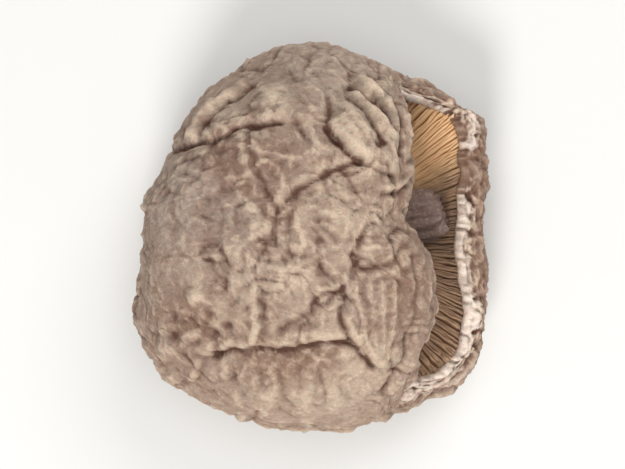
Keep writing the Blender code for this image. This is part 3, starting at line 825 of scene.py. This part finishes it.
class MUSHROOM_OT_cap_skin(bpy.types.Operator):
    """Makes the wrinkled skin of the cap, round its lip to the inner side of the margin"""

    bl_idname = "mushroom.cap_skin"
    bl_label = "Cap skin"

    def execute(self, context):
        cap = context.scene.mushroom_cap
        form = cap_form(cap)
        rings = to_frame(form["rings"])
        height = rings[..., 2]
        high = cad_box[1].z - TOP_BAND * MM
        height = np.where(height > high, high + (height - high) * 0.5, height)
        rings[..., 2] = np.maximum(height, 0)
        piece = add_piece("cap_skin", *loft(rings))
        for name in SKIN_MARKS:
            mark(piece, name, form[name])
        self.paint(piece, cap, context.scene.mushroom_gills.shade)
        return {"FINISHED"}

    def paint(self, piece, cap, inner_colour):
        """Grey-brown, with redder blotches, painted shade in the creases and darker places, painted
        highlights on the ridges, paler places and a cream lip.
        """
        finish = Finish("dried cap skin", roughness=0.72, specular=0.3)
        marks = finish.drawn(*SKIN_MARKS)
        hollow, groove, crest, margin, lip, inside, grey, pale, shaded, cream, brown = marks
        patches = finish.grain(8.0, distortion=0.5)
        mottle = finish.grain(2.0, detail=5.0, distortion=0.6)
        flecks = finish.grain(1.3, detail=4.0, distortion=0.8)
        pores = finish.grain(0.35)
        colour = finish.mixed(((patches - 0.5) * 1.6 + 0.35).held(), cap.skin, cap.pale_skin)
        colour = finish.mixed(grey * 0.6, colour, cap.grey_skin)
        reddish = (mottle - 0.45) * 1.8 + 0.35 * margin
        colour = finish.mixed(reddish.held() * (1 - 0.5 * pale), colour, cap.warm_skin_and_shade)
        # The paler places, partly painted light
        colour = finish.mixed(pale * 0.6, colour, cap.pale_and_highlight)
        # Painted shade, in part: the darker places mixed towards the warm brown
        colour = finish.mixed(shaded * 0.7, colour, cap.warm_skin_and_shade)
        # Painted shade: darker in the creases and thin grooves, more near the margin and less on crests,
        # with random dark flecks
        dark = (hollow * (0.8 + 0.4 * margin) + groove * 0.45 - crest * 0.3).held()
        colour = finish.mixed((dark + flecks.between(0.42, 0.28) * 0.35).held(), colour, cap.crease_shade_and_specks)
        # Painted highlight: crests and scattered flecks lightened, more near the margin and less on the
        # brown rim
        crest_highlight = (crest - 0.2 + (flecks - 0.45) * 2.2).held() * (0.7 + 0.5 * margin) * (1 - 0.5 * brown)
        colour = finish.mixed(crest_highlight.held(), colour, cap.pale_and_highlight)
        colour = finish.mixed(brown * 0.6, colour, cap.warm_skin_and_shade)
        # The cream of the lip and rim is the skin's own pale colour; it is stronger on crests, a painted
        # highlight, and weaker in the painted crease shade
        edge = lip * (0.25 + 0.5 * crest) * (1 - brown)
        edge = edge + cream * (0.35 + 0.55 * crest + (flecks - 0.35) * 2.0).held()
        colour = finish.mixed((edge - dark * 0.5).held(), colour, cap.lip)
        colour = finish.mixed(pores.between(0.62, 0.36) * 0.18, colour, cap.crease_shade_and_specks)
        colour = finish.mixed(inside * 0.25, colour, inner_colour)
        creped = finish.folded(finish.grain(0.62, detail=2.0, distortion=0.8))
        fine = finish.folded(finish.grain(0.28, detail=2.0, distortion=0.5))
        height = creped * 0.6 + fine * 0.25 + finish.grain(0.12) * 0.05
        finish.join(0.66 + 0.22 * mottle, finish.surface.inputs["Roughness"])
        finish.surface.inputs["Subsurface Weight"].default_value = 0.2
        finish.surface.inputs["Subsurface Scale"].default_value = 0.8 * MM
        finish.wear(piece, colour, height, 0.34)


def shell_rings():
    """Rings of the whole cap wall: its outer face sunk under the skin, its lip, and its inner face."""
    turns = np.linspace(-math.pi, math.pi, FLESH_COLUMNS, endpoint=False)
    outer = np.linspace(0.012, 0.92, FLESH_ROWS)
    inner = np.linspace(0.92, 0.012, FLESH_ROWS)
    faces = []
    for stations, outside in ((outer, True), (inner, False)):
        station, turn = spread(stations, turns)
        points, normals, _ = skin_frame(station, turn)
        wall = wall_at(station)
        sunk = wall * 0.94
        if outside:
            relief = broad_relief(points, normals)
            sunk = np.minimum(wall * 0.45 + np.maximum(-relief, 0), wall * 0.8)
        faces.append((points - normals * sunk[:, None]).reshape(FLESH_ROWS, FLESH_COLUMNS, 3))
    return np.concatenate(faces)


def inner_face(lower):
    """Search tree of the inner face of one half of the cap wall, in the form's own numbers."""
    stations = np.linspace(0.02, 0.955, INNER_ROWS)
    turns = np.linspace(0.02, math.pi - 0.02, INNER_COLUMNS) * (-1 if lower else 1)
    station, turn = spread(stations, turns)
    points, normals, _ = skin_frame(station, turn)
    places = swell(points - normals * wall_at(station)[:, None])
    return BVHTree.FromPolygons(places.tolist(), net(INNER_ROWS, INNER_COLUMNS, closed=False))


class MUSHROOM_OT_cap_flesh(bpy.types.Operator):
    """Makes the flesh under the skin, which shows between the gills"""

    bl_idname = "mushroom.cap_flesh"
    bl_label = "Cap flesh"

    def execute(self, context):
        gills = context.scene.mushroom_gills
        rings = shell_rings()
        places = swell(rings.reshape(-1, 3)).reshape(rings.shape)
        places[..., 2] = np.maximum(places[..., 2], FORM_ORIGIN[2] + 0.3)
        piece = add_piece("cap_flesh", *loft(to_frame(places)))
        grown = piece.modifiers.new("grown together", "REMESH")
        grown.mode = "VOXEL"
        grown.voxel_size = FLESH_VOXEL * MM
        apply_modifiers(piece)
        piece.data.shade_smooth()

        finish = Finish("cap flesh", roughness=0.85, specular=0.2)
        colour = finish.mixed(finish.grain(1.4, detail=4.0), gills.shade, gills.colour)
        finish.wear(piece, colour, finish.grain(0.4, detail=4.0), 0.15)
        return {"FINISHED"}


def apply_modifiers(piece):
    """Applies the object's modifiers to its mesh."""
    bpy.context.view_layer.update()
    mesh = bpy.data.meshes.new_from_object(piece.evaluated_get(bpy.context.evaluated_depsgraph_get()))
    piece.modifiers.clear()
    mesh.name = piece.name
    piece.data = mesh


def gill_line(tree, angle, lower):
    """Points (distance from the centre, height) where one gill stands on the flesh, from root to margin."""
    heading = np.array([math.cos(angle), math.sin(angle)])
    sky = Vector((0, 0, 1 if lower else -1))
    level = -20.0 if lower else 60.0
    line = []
    for distance in np.arange(GILL_ROOT, GILL_END, GILL_STEP):
        x, y = np.array(GILL_CENTRE) + heading * distance
        hit = tree.ray_cast(Vector((x, y, level)), sky)[0]
        if hit is None:
            break
        line.append((distance, hit.z))
    return np.array(line)


def gill_blade(line, angle, lower, height, thickness, number):
    """Rings of one thin blade that stands on a line, wavy and crinkled along its free edge."""
    steps = np.hypot(*np.diff(line, axis=0).T)
    length = np.concatenate([[0], np.cumsum(steps)])
    at = np.linspace(0, length[-1], BLADE_RINGS)
    base = np.stack([np.interp(at, length, line[:, 0]), np.interp(at, length, line[:, 1])], axis=1)
    slope = np.gradient(base, axis=0)
    slope /= lengths(slope)[:, None]
    inward = np.stack([-slope[:, 1], slope[:, 0]], axis=1) * (1 if lower else -1)
    rise = ramp(at, 0.0, 2.5) * (1 - 0.75 * ramp(at, length[-1] - 3.0, length[-1]))
    crinkle = noise_of(np.c_[at, np.full(BLADE_RINGS, number * 5.3), at * 0], 0.9, 61.0)
    tall = height * (0.25 + 0.75 * rise) + 0.22 * crinkle
    heading = np.array([math.cos(angle), math.sin(angle)])
    across = np.array([-heading[1], heading[0]])
    rings = np.zeros((BLADE_RINGS, len(BLADE_SECTION), 3))
    for column, (share, side) in enumerate(BLADE_SECTION):
        lift = tall * share
        spot = base + inward * lift[:, None]
        place = np.c_[at, lift, np.full(BLADE_RINGS, number * 3.1)]
        wave = noise_of(place, 2.6, 67.0) * 0.30 + noise_of(place, 1.0, 71.0) * 0.12 + GILL_LEAN
        sideways = side * thickness / 2 + wave * max(share, 0)
        rings[:, column, :2] = (
            np.array(GILL_CENTRE) + spot[:, :1] * heading + sideways[:, None] * across
        )
        rings[:, column, 2] = spot[:, 1]
    return rings


class MUSHROOM_OT_gills(bpy.types.Operator):
    """Makes the gills of both halves, as thin blades that stand on the flesh and radiate from the stem"""

    bl_idname = "mushroom.gills"
    bl_label = "Gills"

    def execute(self, context):
        gills = context.scene.mushroom_gills
        for name, lower in (("gills_lower", True), ("gills_upper", False)):
            tree = inner_face(lower)
            places, faces, outward, tone, brown = [], [], [], [], []
            first = 0
            for number in range(gills.count + gills.count // 2):
                short = number >= gills.count
                turn = number if not short else 2 * (number - gills.count) + 0.5
                jitter = GILL_JITTER * noise.noise(Vector((turn * 0.9, 4.0 if lower else 8.0, 1.5)))
                angle = 2 * math.pi * (turn + jitter) / gills.count
                line = gill_line(tree, angle, lower)
                if len(line) < GILL_LEAST:
                    continue
                if short:
                    line = line[int(len(line) * SHORT_GILL_START):]
                rings = gill_blade(line, angle, lower, gills.height / MM, gills.thickness / MM, number)
                points, sides = loft(to_frame(rings))
                places.append(points)
                faces += [[corner + first for corner in face] for face in sides]
                first += len(points)
                share = np.linspace(0, 1, rings.shape[0]).repeat(rings.shape[1])
                outward.append(np.concatenate([share, [0, 1]]))
                shade = 0.5 + 0.5 * noise.noise(Vector((number * 1.7, 3.3, 9.1)))
                tone.append(np.full(len(points), shade))
                degrees = math.degrees(angle) if angle < math.pi else math.degrees(angle) - 360
                begin, full, last, end = SHADED_GILLS
                shaded_share = ramp(degrees, begin, full) * (1 - ramp(degrees, last, end))
                brown.append(np.full(len(points), shaded_share))
            piece = add_piece(name, np.concatenate(places), faces, flip=not lower)
            mark(piece, "outward", np.concatenate(outward))
            mark(piece, "tone", np.concatenate(tone))
            mark(piece, "brown", np.concatenate(brown))
            self.paint(piece, gills)
        return {"FINISHED"}

    def paint(self, piece, gills):
        """Amber that is darker in streaks and towards the root, with olive brown painted shade on the gills
        from about -80 to 34 degrees round the stem.
        """
        finish = Finish(piece.name + " amber", roughness=0.6, specular=0.35)
        outward, tone, brown = finish.drawn("outward", "tone", "brown")
        streaks = finish.grain(2.2, detail=4.0)
        amount = (tone * 0.4 + streaks * 0.8 + outward * 0.15 - 0.1).held()
        colour = finish.mixed(amount, gills.shade, gills.colour)
        # Painted shade: the olive brown on the gills of the shaded side
        colour = finish.mixed((brown * (0.45 + 0.6 * streaks)).held(), colour, gills.brown)
        finish.wear(piece, colour, finish.grain(0.3, detail=4.0), 0.06)


def stem_path():
    """Places and radii along the stem's smooth middle line, and the distance along it."""
    line = np.array(STEM_LINE)
    for _ in range(5):
        cut = [line[0]]
        for a, b in zip(line[:-1], line[1:]):
            cut += [a * 0.75 + b * 0.25, a * 0.25 + b * 0.75]
        cut[1], cut[-1] = line[0], line[-1]
        line = np.array(cut[1:])
    length = np.concatenate([[0], np.cumsum(lengths(np.diff(line[:, :3], axis=0)))])
    at = np.linspace(0, length[-1], STEM_ROWS)
    return np.stack([np.interp(at, length, line[:, k]) for k in range(4)], axis=1), at


class MUSHROOM_OT_stem(bpy.types.Operator):
    """Makes the stem stub with its lengthwise wrinkles and fibrous cut end"""

    bl_idname = "mushroom.stem"
    bl_label = "Stem"

    def execute(self, context):
        stem = context.scene.mushroom_stem
        path, at = stem_path()
        heading = np.gradient(path[:, :3], axis=0)
        heading /= lengths(heading)[:, None]
        side = np.cross(heading, (0, 0, 1))
        side /= lengths(side)[:, None]
        up = np.cross(side, heading)
        turns = np.linspace(0, 2 * math.pi, stem.sides, endpoint=False)
        spot = np.stack([np.cos(turns), np.sin(turns)], axis=1)
        level = np.zeros(stem.sides)
        from_end = at[-1] - at
        rings = []
        for row in range(STEM_ROWS):
            groove = np.abs(noise_of(np.c_[spot * 2.6, level + at[row] / 9.0], 1.0, 73.0)) ** 0.7 - 0.35
            twist = noise_of(np.c_[spot * 1.2, level + at[row] / 5.0], 1.0, 79.0)
            radius = path[row, 3] * (1 + 0.10 * twist) + 0.85 * groove
            radius *= 1 - 0.30 * math.exp(-from_end[row] / 1.2)
            torn = noise_of(np.c_[spot * 1.3, level], 1.0, 97.0) * math.exp(-from_end[row] / 2.5)
            rings.append(
                path[row, :3] + side[row] * (spot[:, :1] * radius[:, None])
                + up[row] * (spot[:, 1:] * radius[:, None] * 0.9) + heading[row] * 1.6 * torn[:, None]
            )
        end, middle = rings[-1], rings[-1].mean(axis=0)
        for share in np.linspace(0.94, 0.05, STEM_END_RINGS):
            ring = middle + (end - middle) * share
            bump = noise_of(ring, 0.9, 83.0) * 0.35 + noise_of(ring, 2.4, 89.0) * 0.5
            rings.append(ring + heading[-1] * (bump[:, None] + 0.25 - 0.5 * share))
        piece = add_piece("stem", *loft(to_frame(np.array(rings))), flip=True)

        finish = Finish("stem fibre", roughness=0.8, specular=0.25)
        mottle = finish.grain(1.8, detail=4.0)
        fibre = finish.grain(0.5)
        colour = finish.mixed(mottle, stem.groove, stem.colour)
        colour = finish.mixed(fibre.between(0.5, 0.8) * 0.25, colour, stem.fibre)
        finish.wear(piece, colour, fibre + mottle, 0.2)
        return {"FINISHED"}


class MUSHROOM_OT_stage(bpy.types.Operator):
    """Makes the pale floor, the soft lights and the camera"""

    bl_idname = "mushroom.stage"
    bl_label = "Stage"

    def execute(self, context):
        stage = context.scene.mushroom_stage
        low, high = cad_box
        centre = (low + high) / 2
        mesh = bpy.data.meshes.new("floor")
        corners = ((-1, -1), (1, -1), (1, 1), (-1, 1))
        mesh.from_pydata([(x * FLOOR_HALF, y * FLOOR_HALF, 0) for x, y in corners], [], [(0, 1, 2, 3)])
        floor = bpy.data.objects.new("floor", mesh)
        context.scene.collection.objects.link(floor)
        finish = Finish("pale floor", roughness=0.8, specular=0.2)
        finish.join(stage.floor, finish.surface.inputs["Base Color"])
        floor.data.materials.append(finish.material)

        for name, spot, size, power in LIGHTS:
            data = bpy.data.lights.new(name, "AREA")
            data.shape = "DISK"
            data.size = size
            data.energy = power
            light = bpy.data.objects.new(name, data)
            light.location = spot
            light.rotation_euler = (centre - Vector(spot)).to_track_quat("-Z", "Y").to_euler()
            context.scene.collection.objects.link(light)
        world = bpy.data.worlds.new("studio")
        world.use_nodes = True
        world.node_tree.nodes["Background"].inputs["Color"].default_value = (0.9, 0.95, 1.0, 1)
        world.node_tree.nodes["Background"].inputs["Strength"].default_value = 0.35
        context.scene.world = world

        data = bpy.data.cameras.new("camera")
        data.lens = stage.lens
        data.clip_start = 0.01
        camera = bpy.data.objects.new("camera", data)
        wide = stage.view_height * PICTURE[0] / PICTURE[1]
        distance = wide / 2 / (data.sensor_width / 2 / stage.lens)
        aim = Vector((centre.x, centre.y, high.z * 0.6))
        back = Vector((0, -math.cos(stage.elevation), math.sin(stage.elevation)))
        camera.location = aim + back * distance
        camera.rotation_euler = (-back).to_track_quat("-Z", "Y").to_euler()
        context.scene.collection.objects.link(camera)
        context.scene.camera = camera
        context.scene.view_settings.view_transform = "Standard"
        return {"FINISHED"}


class MUSHROOM_PT_panel(bpy.types.Panel):
    """Lists the pieces and their sizes"""

    bl_idname = "MUSHROOM_PT_panel"
    bl_label = "Dried mushroom"
    bl_space_type = "VIEW_3D"
    bl_region_type = "UI"
    bl_category = "Mushroom"

    def draw(self, context):
        for group, operators in STEPS:
            box = self.layout.box()
            settings = getattr(context.scene, group)
            for name in settings.bl_rna.properties.keys():
                if name not in ("rna_type", "name"):
                    box.prop(settings, name)
            for operator in operators:
                box.operator(operator)


GROUPS = {
    "mushroom_cap": MushroomCap,
    "mushroom_gills": MushroomGills,
    "mushroom_stem": MushroomStem,
    "mushroom_stage": MushroomStage,
}
STEPS = (
    ("mushroom_stage", ("mushroom.stage",)),
    ("mushroom_cap", ("mushroom.cap_skin",)),
    ("mushroom_gills", ("mushroom.cap_flesh", "mushroom.gills")),
    ("mushroom_stem", ("mushroom.stem",)),
)
CLASSES = (
    MUSHROOM_OT_stage, MUSHROOM_OT_cap_skin, MUSHROOM_OT_cap_flesh, MUSHROOM_OT_gills, MUSHROOM_OT_stem,
    MUSHROOM_PT_panel,
)


def register():
    for name, group in GROUPS.items():
        bpy.utils.register_class(group)
        setattr(bpy.types.Scene, name, PointerProperty(type=group))
    for kind in CLASSES:
        bpy.utils.register_class(kind)


def unregister():
    for kind in reversed(CLASSES):
        bpy.utils.unregister_class(kind)
    for name, group in GROUPS.items():
        delattr(bpy.types.Scene, name)
        bpy.utils.unregister_class(group)


def main():
    register()
    for _, operators in STEPS:
        for operator in operators:
            area, name = operator.split(".")
            getattr(getattr(bpy.ops, area), name)()


if __name__ == "__main__":
    main()
